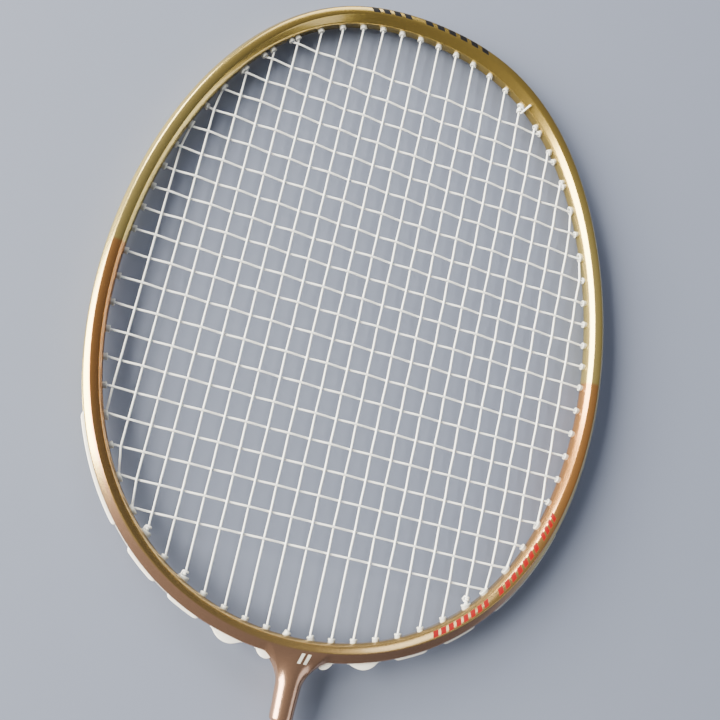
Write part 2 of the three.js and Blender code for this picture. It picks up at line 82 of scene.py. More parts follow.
class Field:
    """A node's output. Sums of fields and numbers add Math nodes to the same material."""

    def __init__(self, tree, socket):
        self.tree = tree
        self.socket = socket

    def node(self, kind, settings, inputs, output=0):
        made = self.tree.nodes.new(kind)
        for name, value in settings.items():
            setattr(made, name, value)
        for name, value in inputs.items():
            if isinstance(value, Field):
                self.tree.links.new(value.socket, made.inputs[name])
            else:
                made.inputs[name].default_value = value
        return Field(self.tree, made.outputs[output])

    def math(self, operation, *others):
        values = dict(enumerate((self, *others)))
        return self.node("ShaderNodeMath", {"operation": operation}, values)

    def __add__(self, other):
        return self.math("ADD", other)

    def __mul__(self, other):
        return self.math("MULTIPLY", other)

    def __sub__(self, other):
        return self.math("SUBTRACT", other)

    def __rsub__(self, other):
        return self * -1.0 + other

    def __truediv__(self, other):
        return self.math("DIVIDE", other)

    __radd__ = __add__
    __rmul__ = __mul__

    def between(self, low, high):
        """Rises smoothly from 0 at low to 1 at high."""
        settings = {"interpolation_type": "SMOOTHSTEP"}
        inputs = {"Value": self, "From Min": low, "From Max": high}
        return self.node("ShaderNodeMapRange", settings, inputs)

    def mixed(self, first, second):
        """The first colour where this field is 0, and the second where it is 1."""
        inputs = {"Factor": self, 6: first, 7: second}
        return self.node("ShaderNodeMix", {"data_type": "RGBA"}, inputs, 2)


class Finish:
    """A material with one Principled shader, and the piece's own axes in millimetres."""

    def __init__(self, name, **constants):
        self.material = bpy.data.materials.new(name)
        self.material.use_nodes = True
        self.tree = self.material.node_tree
        self.shader = self.tree.nodes["Principled BSDF"]
        for name, value in constants.items():
            self.shader.inputs[name.replace("_", " ").title()].default_value = value
        start = Field(self.tree, None)
        self.place = start.node("ShaderNodeTexCoord", {}, {}, "Object")
        parts = self.place.node("ShaderNodeSeparateXYZ", {}, {0: self.place})
        self.axes = [Field(self.tree, part) * (1 / MM) for part in parts.socket.node.outputs]

    def noise(self, scale, detail=2.0, stretch=None):
        """Cloudy noise, with features about 1 / scale of a metre across."""
        place = self.place
        if stretch:
            place = place.node("ShaderNodeMapping", {}, {"Vector": place, "Scale": stretch})
        inputs = {"Vector": place, "Scale": scale, "Detail": detail}
        return place.node("ShaderNodeTexNoise", {}, inputs)

    def attribute(self, name):
        """A number that the piece's mesh holds for each of its points."""
        return self.place.node("ShaderNodeAttribute", {"attribute_name": name}, {}, "Fac")

    def feed(self, **fields):
        for name, field in fields.items():
            socket = self.shader.inputs[name.replace("_", " ").title()]
            self.tree.links.new(field.socket, socket)

    def bump(self, height, distance, strength):
        inputs = {"Height": height, "Distance": distance, "Strength": strength}
        self.feed(normal=height.node("ShaderNodeBump", {}, inputs))


FLOOR_REACH = 6.0  # in metres, from the middle to an edge
GRIP_REST = Vector((0, 5.0, -13.35))
TIP_REST = Vector((0, 671.0, -4.95))
FLOOR_COLOR = (0.155, 0.178, 0.245, 1)
FLOOR_SPECKLE = (0.15035, 0.17266, 0.23765, 1)

floor_finish = Finish("pale_floor", roughness=0.75)
floor_finish.feed(base_color=floor_finish.noise(60.0, 4.0).mixed(FLOOR_COLOR, FLOOR_SPECKLE))
bm = bmesh.new()
bmesh.ops.create_grid(bm, x_segments=1, y_segments=1, size=FLOOR_REACH)
lean = math.atan2(TIP_REST.z - GRIP_REST.z, TIP_REST.y - GRIP_REST.y)
bmesh.ops.rotate(bm, verts=bm.verts, cent=(0, 0, 0), matrix=Matrix.Rotation(lean, 3, "X"))
bmesh.ops.translate(bm, verts=bm.verts, vec=GRIP_REST * MM)
floor_mesh = bpy.data.meshes.new("floor")
bm.to_mesh(floor_mesh)
bm.free()
floor = bpy.data.objects.new("floor", floor_mesh)
floor_mesh.materials.append(floor_finish.material)
show(floor)

# Soft boxes, each at a place in metres from the middle of the bed: a broad one on the left, a
# smaller one beside it, a weak one beyond the tip and a weaker one on the right
SOFT_BOXES = [
    ("left_box", Vector((-2.4, -0.2, 1.0)), 2.05, 530.0, (1.0, 0.955, 0.84)),
    ("upper_left_box", Vector((-2.0, 1.8, 0.95)), 1.0, 120.0, (1.0, 0.965, 0.87)),
    ("tip_box", Vector((-0.2, 1.7, 1.0)), 0.9, 20.0, (0.96, 0.97, 1.0)),
    ("right_box", Vector((1.6, -0.7, 1.0)), 0.8, 6.0, (0.9, 0.94, 1.0)),
]
ROOM_COLOR = (0.72, 0.76, 0.86, 1)
ROOM_STRENGTH = 0.24
bed_middle = Vector((0, bed_y, 0)) * MM
for name, offset, size, power, color in SOFT_BOXES:
    light_data = bpy.data.lights.new(name, "AREA")
    light_data.size = size
    light_data.energy = power
    light_data.color = color
    light = bpy.data.objects.new(name, light_data)
    light.location = bed_middle + offset
    light.rotation_euler = (-offset).to_track_quat("-Z", "Y").to_euler()
    show(light)
world = bpy.data.worlds.new("studio")
world.use_nodes = True
room = world.node_tree.nodes["Background"]
room.inputs["Color"].default_value = ROOM_COLOR
room.inputs["Strength"].default_value = ROOM_STRENGTH
bpy.context.scene.world = world

# ---------------------------------------------------------------------------------------------
# Head frame: a hollow tube of carbon fibre laid up and moulded in one piece with the neck,
# under pearl lacquer that goes from gold at the crown to copper and rose brown at the throat.
RIM_WIDTH = 6.9  # from the inner wall to the outer wall
RIM_HALF_HEIGHT = 4.9
GROOVE_FLOOR = 5.4
OVAL_ACROSS = (89.4, -11.9, -1.6)  # waves of one, two and three turns round the rim
OVAL_ALONG = (125.8, -10.9, -5.5)
OVAL_MIDDLE = 6.7
STATIONS = 360


def rim_shape(angle):
    """The inner wall's place and slope, at an angle from the tip that is positive on the right."""
    x = dx = dy = 0.0
    y = OVAL_MIDDLE
    for turns, (across, along) in enumerate(zip(OVAL_ACROSS, OVAL_ALONG), 1):
        x += across * math.sin(turns * angle)
        y += along * math.cos(turns * angle)
        dx += turns * across * math.cos(turns * angle)
        dy -= turns * along * math.sin(turns * angle)
    return x, y, dx, dy


def rim_point(angle, outward=0.0, z=0.0):
    """A point at a distance outward from the inner wall, and at a height above the bed."""
    x, y, dx, dy = rim_shape(angle)
    speed = math.hypot(dx, dy)
    return Vector((x - dy / speed * outward, bed_y + y + dx / speed * outward, z))


def rim_heading(angle):
    """The direction in which the angle falls, which is anticlockwise seen from the front."""
    dx, dy = rim_shape(angle)[2:]
    return Vector((-dx, -dy, 0)).normalized()


def lerp(low, high, share):
    return low + (high - low) * share


def rounded(corners, radii, steps):
    """A closed outline with each corner rounded off in a number of steps."""
    points = []
    for i, corner in enumerate(corners):
        before = corners[i - 1] - corner
        after = corners[(i + 1) % len(corners)] - corner
        start = corner + before.normalized() * min(radii[i], before.length * 0.45)
        end = corner + after.normalized() * min(radii[i], after.length * 0.45)
        for step in range(steps[i] + 1):
            share = step / steps[i]
            points.append(start.lerp(corner, share).lerp(corner.lerp(end, share), share))
    return points


# The section's front corners as (outward, height), from the inner wall to the outer wall. The
# face between the two middle ones is near the outside at the crown and near the inside at the
# throat.
CROWN_CORNERS = [(0.0, 1.7), (0.25, 2.3), (2.9, 4.85), (4.6, 4.85), (6.1, 4.4), (RIM_WIDTH, 3.2)]
SIDE_CORNERS = [(0.0, 1.0), (0.55, 2.6), (1.9, 4.4), (3.6, 4.9), (5.2, 4.65), (RIM_WIDTH, 2.9)]
THROAT_CORNERS = [(0.0, 1.4), (0.2, 2.0), (0.9, 3.0), (2.2, 4.2), (3.5, 4.9), (RIM_WIDTH, 2.5)]
GROOVE_CORNERS = [(RIM_WIDTH, 1.5), (GROOVE_FLOOR, 1.3)]
SOFT_RIDGE = 0.45
SHARP_RIDGE = 0.22


def rim_section(angle):
    """The whole outline as (outward, height) points: from the front, round the groove and the
    back to the inner wall."""
    is_crown = math.cos(angle) > 0
    share = min(1.0, math.cos(angle) ** 2 * 1.35)
    ends = CROWN_CORNERS if is_crown else THROAT_CORNERS
    front = [Vector(side).lerp(Vector(end), share) for side, end in zip(SIDE_CORNERS, ends)]
    upper = front[2:] + [Vector(corner) for corner in GROOVE_CORNERS]
    inner = front[:2]
    corners = upper + [Vector((u, -z)) for u, z in reversed(upper)]
    corners += [Vector((u, -z)) for u, z in reversed(inner)] + inner
    ridge_radius = SOFT_RIDGE if is_crown else lerp(SOFT_RIDGE, SHARP_RIDGE, share)
    radii = [0.5, 0.9, ridge_radius, 0.6, 0.2, 0.3]
    steps = [3, 2, 3, 3, 1, 1]
    radii += radii[::-1] + [0.5, 0.5, 0.5, 0.5]
    steps += steps[::-1] + [2, 2, 2, 2]
    return rounded(corners, radii, steps)


def start_ring(bm, points):
    ring = [bm.verts.new(point) for point in points]
    for vertex, after in zip(ring, ring[1:] + ring[:1]):
        bm.edges.new((vertex, after))
    return ring


def ring_edges(bm, ring):
    return [bm.edges.get(pair) for pair in zip(ring, ring[1:] + ring[:1])]


def extrude_ring(bm, ring, points):
    """Extrudes a closed ring of vertices to new points, and returns the new ring."""
    made = bmesh.ops.extrude_edge_only(bm, edges=ring_edges(bm, ring))["geom"]
    fresh = {v for v in made if isinstance(v, bmesh.types.BMVert)}
    new_ring = []
    for vertex, point in zip(ring, points):
        others = [edge.other_vert(vertex) for edge in vertex.link_edges]
        twin = next(other for other in others if other in fresh)
        twin.co = point
        new_ring.append(twin)
    return new_ring


def bridge_rings(bm, first, second):
    edges = ring_edges(bm, first) + ring_edges(bm, second)
    bmesh.ops.bridge_loops(bm, edges=edges)


def close_ring(bm, ring):
    bmesh.ops.contextual_create(bm, geom=ring)


def add_piece(name, bm, finish, node, crisp=False):
    """Makes an object of a mesh modelled in millimetres, in place of a node of the racket."""
    bmesh.ops.remove_doubles(bm, verts=bm.verts, dist=0.002)
    bmesh.ops.recalc_face_normals(bm, faces=bm.faces)
    bmesh.ops.scale(bm, verts=bm.verts, vec=(MM, MM, MM))
    mesh = bpy.data.meshes.new(name)
    bm.to_mesh(mesh)
    bm.free()
    mesh.shade_smooth()
    mesh.materials.append(finish.material)
    piece = bpy.data.objects.new(name, mesh)
    show(piece)
    if crisp:
        weighting = piece.modifiers.new("crisp_edges", "WEIGHTED_NORMAL")
        weighting.keep_sharp = False
        weighting.weight = 100
    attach(piece, "root")
    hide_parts(node)


# The lacquer: pearl flakes in clear coat, in bands of colour along the racket, and a painted highlight
# along the outer bevel below the colour break
GOLD = (0.38, 0.26, 0.06, 1)
PALE_GOLD = (0.53, 0.41, 0.13, 1)
COPPER = (0.50, 0.23, 0.07, 1)
ROSE_BROWN = (0.40, 0.23, 0.145, 1)
OLIVE = (0.34, 0.22, 0.075, 1)
BLACK_INK = (0.008, 0.008, 0.009, 1)
RED_INK = (0.15, 0.003, 0.003, 1)
WHITE_INK = (0.55, 0.53, 0.47, 1)
PEARL_METALLIC = 0.88
COAT = 0.6
ROUGHNESS = 0.19
INK_ROUGHNESS = 0.15  # more than the pearl's

lacquer = Finish("frame_lacquer", coat_roughness=0.1)
lacquer.shader.inputs["Specular IOR Level"].default_value = 0.1
x, y, z = lacquer.axes
outward = lacquer.attribute("outward")
from_middle = y - bed_y
crown = from_middle.between(30.0, 110.0).mixed(PALE_GOLD, GOLD)
from_ridge = outward - 0.9 * from_middle.between(-125.0, -95.0)
throat = from_ridge.between(3.2, 3.7).mixed(OLIVE, ROSE_BROWN)
lower = from_middle.between(-105.0, -45.0).mixed(throat, COPPER)
# The outer bevel is painted pale gold, on both sides, from about 100 below the bed's middle up to the
# colour break. This is a painted highlight, so that the left lamp's reflection there reads cream and
# not pink.
painted_highlight_edge = outward.between(4.6, 5.4) * from_middle.between(-100.0, -75.0)
lower = painted_highlight_edge.mixed(lower, PALE_GOLD)
paint = from_middle.between(-5.6, -4.4).mixed(lower, crown)
flakes = lacquer.noise(4500.0, 1.0).between(0.35, 0.75)
tone = flakes * 0.22 + 0.86
paint = paint.node("ShaderNodeVectorMath", {"operation": "SCALE"}, {0: paint, "Scale": tone})
is_front = z.between(1.9, 2.1)


def band(place, low, high, blur):
    """1 from one place to another, and 0 beyond them."""
    return place.between(low, low + blur) * (1.0 - place.between(high, high + blur))


# Printed marks on the front: rows of slanted blocks, black on the crown and red on the lower
# right, each between two angles round the bed's middle, and two white bars on the throat
BLACK_ROWS = [(-0.21, -0.06, 0.0375), (-0.023, 0.235, 0.043)]  # start, end and pitch of blocks
RED_ROWS = [(2.160, 2.259, 0.02475), (2.279, 2.495, 0.03086), (2.528, 2.740, 0.0265)]
BLACK_BAND = (3.7, 5.9)  # outward from the inner wall
RED_BAND = (1.1, 3.1)
SLANT = 0.004
BAR_LOW = -132.7
BAR_MIDDLE = -130.8
BAR_HIGH = -129.1
BAR_PITCH = 2.3
polar = x.math("ARCTAN2", from_middle)


def printed(rows, width, slant):
    """Where the ink of some rows of slanted blocks is."""
    total = 0.0
    for start, end, pitch in rows:
        share = (polar + outward * slant - start) / pitch
        inside = band(share, 0.0, (end - start) / pitch, 0.02)
        total = total + inside * band(share.math("FRACT"), 0.0, 0.66, 0.04)
    return total * band(outward, *width, 0.12) * is_front


black_rows = printed(BLACK_ROWS, BLACK_BAND, SLANT)
red_rows = printed(RED_ROWS, RED_BAND, -SLANT)
bar = (x - 0.3 * (from_middle - BAR_MIDDLE) - 0.4) / BAR_PITCH
bars = band(bar.math("FRACT"), 0.1, 0.62, 0.1) * band(bar, 0.0, 1.99, 0.01)
white_bars = bars * band(from_middle, BAR_LOW, BAR_HIGH, 0.2) * is_front
inked = black_rows.mixed(paint, BLACK_INK)
inked = red_rows.mixed(inked, RED_INK)
inked = white_bars.mixed(inked, WHITE_INK)
is_ink = black_rows + red_rows + white_bars
is_bare = 1.0 - is_ink
lacquer.feed(base_color=inked, metallic=PEARL_METALLIC * is_bare, coat_weight=COAT * is_bare)
uneven = ROUGHNESS + 0.08 * lacquer.noise(900.0, 3.0)
lacquer.feed(roughness=uneven + INK_ROUGHNESS * is_ink)
lacquer.bump(lacquer.noise(2600.0, 1.0), 0.00002, 0.25)

# The tube: its section is swept once round the head and joined to its start
bm = bmesh.new()
outward_layer = bm.verts.layers.float.new("outward")
rings = []
for station in range(STATIONS):
    angle = math.pi - 2 * math.pi * station / STATIONS
    section = rim_section(angle)
    points = [rim_point(angle, u, height) for u, height in section]
    rings.append(extrude_ring(bm, rings[-1], points) if rings else start_ring(bm, points))
    for vertex, (u, _) in zip(rings[-1], section):
        vertex[outward_layer] = u
bridge_rings(bm, rings[-1], rings[0])

# The neck leaves the outer half of the tube between the two ridges
NECK_STATIONS = 6  # on each side of the middle of the throat
OUTER_FIRST = 10  # the last point of the front ridge's rounding
OUTER_LAST = 27  # the first point of the back ridge's rounding
opened = [rings[s] for s in range(1 - NECK_STATIONS, NECK_STATIONS)]
lost = [vertex for ring in opened for vertex in ring[OUTER_FIRST + 1:OUTER_LAST]]
left = rings[-NECK_STATIONS]
right = rings[NECK_STATIONS]
across = [left, *opened, right]
bmesh.ops.delete(bm, geom=lost, context="VERTS")
loop = [ring[OUTER_FIRST] for ring in across]
loop += right[OUTER_FIRST + 1:OUTER_LAST]
loop += [ring[OUTER_LAST] for ring in reversed(across)]
loop += reversed(left[OUTER_FIRST + 1:OUTER_LAST])

# The neck's first rows blend out of the rim, and the rest are ovals round the shaft's axis. The
# last two line the socket of the shaft.
NECK_ROWS = 18
BLEND_END = (-141.0, 4.65, 4.5)  # place along the racket, half width and half height
NECK_OVALS = [
    (-144.0, 4.48, 4.38), (-147.0, 4.34, 4.28), (-150.0, 4.25, 4.2), (-151.6, 4.2, 4.15),
    (-152.2, 4.08, 4.04), (-152.5, 3.85, 3.82), (-152.5, 3.68, 3.68), (-140.0, 3.68, 3.68),
]
NECK_OUTWARD = 6.0  # the neck has the colour of the rim's outer wall
RIM_PULL = 7.0  # how far the neck's curves follow the rim, its faces and the shaft's axis
FACE_PULL = 8.0
AXIS_PULL = Vector((0, -14.0, 0))


def neck_point(start, y_place, half_width, half_height):
    """The point of an oval that lies in the direction of a point on the rim."""
    turn = math.atan2(start.z * 1.1, start.x)
    return Vector((half_width * math.cos(turn), bed_y + y_place, half_height * math.sin(turn)))


def pull_from_rim(start, side_x):
    """Which way the neck leaves a point of the rim: along it at the sides, and down its faces."""
    to_middle = -math.copysign(1.0, start.x)
    along_rim = Vector((to_middle, -0.06, 0))
    down_face = Vector((0, -1.0, -0.16 * math.copysign(1.0, start.z)))
    to_side = min(1.0, abs(start.x) / side_x)
    on_ridge = min(1.0, abs(start.z) / RIM_HALF_HEIGHT) ** 2
    return (along_rim * RIM_PULL * to_side ** 2 * lerp(1.0, 0.6, on_ridge)
            + down_face * FACE_PULL * on_ridge * lerp(1.0, 0.25, to_side))


def hermite(start, start_pull, end, end_pull, s):
    return ((2 * s ** 3 - 3 * s ** 2 + 1) * start + (s ** 3 - 2 * s ** 2 + s) * start_pull
            + (3 * s ** 2 - 2 * s ** 3) * end + (s ** 3 - s ** 2) * end_pull)


starts = [vertex.co.copy() for vertex in loop]
pulls = [pull_from_rim(start, abs(starts[0].x)) for start in starts]
ends = [neck_point(start, *BLEND_END) for start in starts]
neck_rows = []
for row in range(1, NECK_ROWS + 1):
    share = row / NECK_ROWS
    curves = zip(starts, pulls, ends)
    neck_rows.append([hermite(start, pull, end, AXIS_PULL, share) for start, pull, end in curves])
neck_rows += [[neck_point(start, *oval) for start in starts] for oval in NECK_OVALS]
ring = loop
for points in neck_rows:
    ring = extrude_ring(bm, ring, points)
    for vertex in ring:
        vertex[outward_layer] = NECK_OUTWARD
close_ring(bm, ring)
add_piece("head_frame_shell", bm, lacquer, "head_frame", crisp=True)

# ---------------------------------------------------------------------------------------------
# T-joint: a cast alloy bar bonded in the frame's hollow behind the throat. Its stem stands in
# the end of the shaft and keeps the two in line.


def refinish(node, finish):
    """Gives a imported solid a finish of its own."""
    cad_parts[node].data.materials.clear()
    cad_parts[node].data.materials.append(finish.material)


alloy = Finish("cast_alloy", metallic=1.0, base_color=(0.62, 0.63, 0.65, 1))
alloy.feed(roughness=0.38 + 0.2 * alloy.noise(700.0, 3.0))
refinish("t_joint", alloy)

# ---------------------------------------------------------------------------------------------
# Shaft: a hollow tube of wound carbon fibre, lacquered rose brown and bonded in the neck and
# in the handle.
SHAFT_RADIUS = 3.55
SHAFT_BORE_RADIUS = 2.3
SHAFT_BEVEL = 0.2
SHAFT_SIDES = 48

shaft_finish = Finish(
    "shaft_lacquer", metallic=0.7, roughness=0.28, coat_weight=1.0, coat_roughness=0.05)
wound = shaft_finish.noise(300.0, 2.0, (1.0, 0.12, 1.0))
shaft_finish.feed(base_color=wound.mixed((0.30, 0.17, 0.13, 1), (0.40, 0.24, 0.18, 1)))
shaft_finish.bump(shaft_finish.noise(2400.0, 1.0), 0.00002, 0.2)


def spin_profile(bm, profile, sides):
    """Spins a closed profile of (radius, y) about the racket's axis."""
    row = [bm.verts.new((radius, y_place, 0)) for radius, y_place in profile]
    edges = [bm.edges.new(pair) for pair in zip(row, row[1:] + row[:1])]
    bmesh.ops.spin(bm, geom=row + edges, cent=(0, 0, 0), axis=(0, 1, 0), angle=2 * math.pi,
                   steps=sides, use_merge=True)


shaft_low, shaft_high = [corner.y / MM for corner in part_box("shaft")]
bm = bmesh.new()
spin_profile(bm, [
    (SHAFT_BORE_RADIUS, shaft_low),
    (SHAFT_RADIUS - SHAFT_BEVEL, shaft_low),
    (SHAFT_RADIUS, shaft_low + SHAFT_BEVEL),
    (SHAFT_RADIUS, shaft_high - SHAFT_BEVEL),
    (SHAFT_RADIUS - SHAFT_BEVEL, shaft_high),
    (SHAFT_BORE_RADIUS, shaft_high),
], SHAFT_SIDES)
add_piece("shaft_tube", bm, shaft_finish, "shaft", crisp=True)

# ---------------------------------------------------------------------------------------------
# Grommets: moulded in translucent nylon. A barrel lines each string hole and stands proud of
# the inner wall, and a base in the groove joins the barrels of a strip.
MAINS = 22
MAIN_SPACING = 8.05
FIRST_ROW = 93.8  # the top cross string, above the middle of the bed
ROW_GAPS = [(1, 10.0), (6, 9.3), (4, 8.75), (9, 9.65)]  # how many gaps of each size, downwards
SIDES = (-1, 1)
main_x = [(i - (MAINS - 1) / 2) * MAIN_SPACING for i in range(MAINS)]
row_y = [FIRST_ROW]
for number, size in ROW_GAPS:
    for _ in range(number):
        row_y.append(row_y[-1] - size)


def solve_angle(difference, low, high):
    """The angle at which a difference that grows from negative to positive is 0."""
    for _ in range(40):
        middle = (low + high) / 2
        if difference(middle) > 0:
            high = middle
        else:
            low = middle
    return low


LIP_OUTWARD = -1.4
SHORT_REACH = 0.8
SHARED_REACH = 1.2


class Hole:
    """A string hole, square to the rim unless its outer mouth is at another angle."""

    def __init__(self, angle, exit_angle=None):
        self.angle = angle
        self.exit_angle = angle if exit_angle is None else exit_angle
        self.inner = rim_point(angle)
        self.direction = (rim_point(self.exit_angle, RIM_WIDTH) - self.inner).normalized()
        square = rim_point(angle, 1.0) - self.inner
        self.per_outward = 1 / self.direction.dot(square)
        self.strings = 0
        self.is_short = False

    def at(self, outward, z=0.0):
        point = self.inner + self.direction * (outward * self.per_outward)
        return Vector((point.x, point.y, z))

    def reach(self):
        """How far the barrel stands proud of the inner wall."""
        if self.is_short:
            return SHORT_REACH
        return SHARED_REACH if self.strings > 1 else -LIP_OUTWARD


def lip(angle, exit_angle=None):
    place = Hole(angle, exit_angle).at(LIP_OUTWARD)
    return place.x, place.y - bed_y


# A string runs straight to the lip of its barrel, so the lip is what stands on the string's line.
# Some of the outer mains, counted from the middle, share a hole with a cross string.
SHARED_TOP = {9: 3, 10: 5}
SHARED_BOTTOM = {8: 20, 9: 19, 10: 17}
SHORT_ROW = 6  # the outermost mains pass close to the rim here
THROAT_EXIT_X = 7.8
HOLE_LEAN = 0.6  # throat holes lean between the strings' line, 0, and square to the rim, 1
widest = solve_angle(lambda a: -rim_shape(a)[2], 1, 3)
throat_exit = solve_angle(lambda a: THROAT_EXIT_X - rim_shape(a)[0], widest, math.pi)


def row_hole(side, place):
    return Hole(side * solve_angle(lambda a: place - lip(a)[1], 0, math.pi))


def crown_hole(side, place):
    return Hole(side * solve_angle(lambda a: lip(a)[0] - place, 0, widest))


def throat_hole(side, place, is_middle):
    """A hole that leans towards its string's line, or by the neck, one that leaves beside it."""
    square = solve_angle(lambda a: place - lip(a)[0], widest, math.pi)
    mouth_x = lerp(place, rim_point(square, RIM_WIDTH).x, HOLE_LEAN)
    leaning = solve_angle(lambda a: mouth_x - rim_point(a, RIM_WIDTH).x, widest, math.pi)
    leaving = throat_exit if is_middle else leaning
    angle = solve_angle(lambda a: place - lip(a, leaving)[0], widest, math.pi)
    return Hole(side * angle, side * leaving)


row_holes = {}
top_holes = {}
bottom_holes = {}
for side in SIDES:
    rows = [row_hole(side, place) for place in row_y]
    rows[SHORT_ROW].is_short = True
    tops = []
    bottoms = []
    for i, place in enumerate(main_x[MAINS // 2:]):
        tops.append(rows[SHARED_TOP[i]] if i in SHARED_TOP else crown_hole(side, place))
        is_shared = i in SHARED_BOTTOM
        bottoms.append(rows[SHARED_BOTTOM[i]] if is_shared else throat_hole(side, place, i == 0))
    row_holes[side] = rows
    top_holes[side] = tops
    bottom_holes[side] = bottoms


def from_centre(main):
    return main - MAINS // 2 if main >= MAINS // 2 else MAINS // 2 - 1 - main


def side_of(main):
    return 1 if main_x[main] > 0 else -1


def top_hole(main):
    return top_holes[side_of(main)][from_centre(main)]


def bottom_hole(main):
    return bottom_holes[side_of(main)][from_centre(main)]


# Tie-offs, by the number of the main string whose hole they share, counted from the left
TIE_LEFT = 5
TIE_RIGHT = 18
CROSS_TIE_TOP = 16
CROSS_TIE_BOTTOM = 3
used = [hole(main) for main in range(MAINS) for hole in (top_hole, bottom_hole)]
used += row_holes[-1] + row_holes[1]
used += [bottom_hole(TIE_LEFT), bottom_hole(TIE_RIGHT)]
used += [top_hole(CROSS_TIE_TOP), bottom_hole(CROSS_TIE_BOTTOM)]
for hole in used:
    hole.strings += 1

nylon = Finish(
    "grommet_nylon", subsurface_weight=0.35, subsurface_radius=(0.002, 0.002, 0.0018),
    coat_weight=0.2)
haze = nylon.noise(500.0, 3.0)
milky = haze.mixed((0.84, 0.82, 0.76, 1), (0.92, 0.89, 0.81, 1))
clearer = haze.mixed((0.50, 0.51, 0.48, 1), (0.60, 0.60, 0.56, 1))
nylon.feed(base_color=nylon.attribute("is_barrel").mixed(milky, clearer))
nylon.feed(roughness=0.26 + 0.15 * haze)
BARREL_SIDES = 16
ONE_STRING = (1.25, 0.62)  # outer and bore radius of a barrel
TWO_STRINGS = (1.45, 0.95)
TWO_STRINGS_WIDER = (1.3, 1.0, 0.95)


def add_barrel(bm, hole, outer_end):
    """A hollow barrel with a rounded lip, along the hole's axis."""
    outer, bore = TWO_STRINGS if hole.strings > 1 else ONE_STRING
    inner_end = -hole.reach() * hole.per_outward
    mouth = outer_end * hole.per_outward
    before = set(bm.verts)
    spin_profile(bm, [
        (bore, mouth), (outer, mouth),
        (outer - 0.03, inner_end + 0.75), (outer + 0.08, inner_end + 0.55),
        (outer + 0.10, inner_end + 0.2), (outer - 0.08, inner_end),
        (bore + 0.12, inner_end), (bore, inner_end + 0.15),
    ], BARREL_SIDES)
    fresh = [vertex for vertex in bm.verts if vertex not in before]
    for vertex in fresh:
        vertex[bm.verts.layers.float["is_barrel"]] = 1.0
    if hole.strings > 1:
        bmesh.ops.scale(bm, verts=fresh, vec=TWO_STRINGS_WIDER)
    turn = math.atan2(hole.direction.y, hole.direction.x) - math.pi / 2
    bmesh.ops.rotate(bm, verts=fresh, cent=(0, 0, 0), matrix=Matrix.Rotation(turn, 3, "Z"))
    bmesh.ops.translate(bm, verts=fresh, vec=hole.inner)


BASE_LOW = 5.43
BASE_HIGH = 5.6
BASE_HALF = 1.25
BASE_END = 1.6  # length of a base's round end
CHANNEL_HALF = 1.35
WALL_START = 7.0
WALL_HIGH = 7.75
WALL_RISE = 1.2  # length over which the walls reach their height
WALL_THICKNESS = 0.4
FLANGE_HIGH = 7.15
FLANGE_SHARE = 0.09  # of a half moon's length, at each end
MOON_HIGH = 9.4
STRIP_MARGIN = 1.7
STRIP_STEP = 0.7


def flat_section(share, length):
    """A plain base at the bottom of the groove, narrowed to a round end."""
    into = min(share, 1 - share) * length
    taper = 1.0 if into >= BASE_END else max(0.3, math.sqrt(1 - (1 - into / BASE_END) ** 2))
    half = BASE_HALF * taper
    corners = [(BASE_HIGH, half), (BASE_HIGH, -half), (BASE_LOW, -half), (BASE_LOW, half)]
    return rounded([Vector(c) for c in corners], [0.25, 0.25, 0.1, 0.1], [3, 3, 1, 1])


def channel(high, floor_at):
    """A base whose two walls stand proud of the rim, on either side of the string."""
    outer = CHANNEL_HALF
    inner = outer - WALL_THICKNESS
    corners = [
        (high, outer), (high, inner), (floor_at, inner), (floor_at, -inner),
        (high, -inner), (high, -outer), (BASE_LOW, -outer), (BASE_LOW, outer),
    ]
    radii = [0.16, 0.14, 0.2, 0.2, 0.14, 0.16, 0.1, 0.1]
    return rounded([Vector(c) for c in corners], radii, [2] * len(corners))


def wall_section(share, length):
    into = min(share, 1 - share) * length
    rise = math.sqrt(min(1.0, into / WALL_RISE))
    return channel(lerp(WALL_START, WALL_HIGH, rise), BASE_HIGH)


def moon_floor(share):
    """Where the string lies in a half moon, which lifts it over its hump."""
    return BASE_HIGH + 0.1 + 1.3 * math.sin(math.pi * share)


def moon_section(share, length):
    """A half moon with a thin flange at each end."""
    inside = min(1.0, max(0.0, (share - FLANGE_SHARE) / (1 - 2 * FLANGE_SHARE)))
    hump = math.sin(math.pi * inside) ** 0.75
    return channel(FLANGE_HIGH + (MOON_HIGH - FLANGE_HIGH) * hump, moon_floor(share))


def angle_along(angle, distance):
    dx, dy = rim_shape(angle)[2:]
    return angle + distance / math.hypot(dx, dy)


def add_strip(name, holes, node, section_of=flat_section):
    """A base swept along the groove past its holes, and a barrel through each of them."""
    angles = [hole.exit_angle for hole in holes]
    start = angle_along(min(angles), -STRIP_MARGIN)
    end = angle_along(max(angles), STRIP_MARGIN)
    length = (rim_point(start) - rim_point(end)).length
    pieces = max(12, round(length / STRIP_STEP))
    bm = bmesh.new()
    bm.verts.layers.float.new("is_barrel")
    ring = None
    for piece in range(pieces + 1):
        share = piece / pieces
        angle = lerp(start, end, share)
        points = [rim_point(angle, u, height) for u, height in section_of(share, length)]
        if ring:
            ring = extrude_ring(bm, ring, points)
        else:
            ring = start_ring(bm, points)
            close_ring(bm, ring)
    close_ring(bm, ring)
    for hole in holes:
        add_barrel(bm, hole, BASE_HIGH)
    add_piece(name, bm, nylon, node)


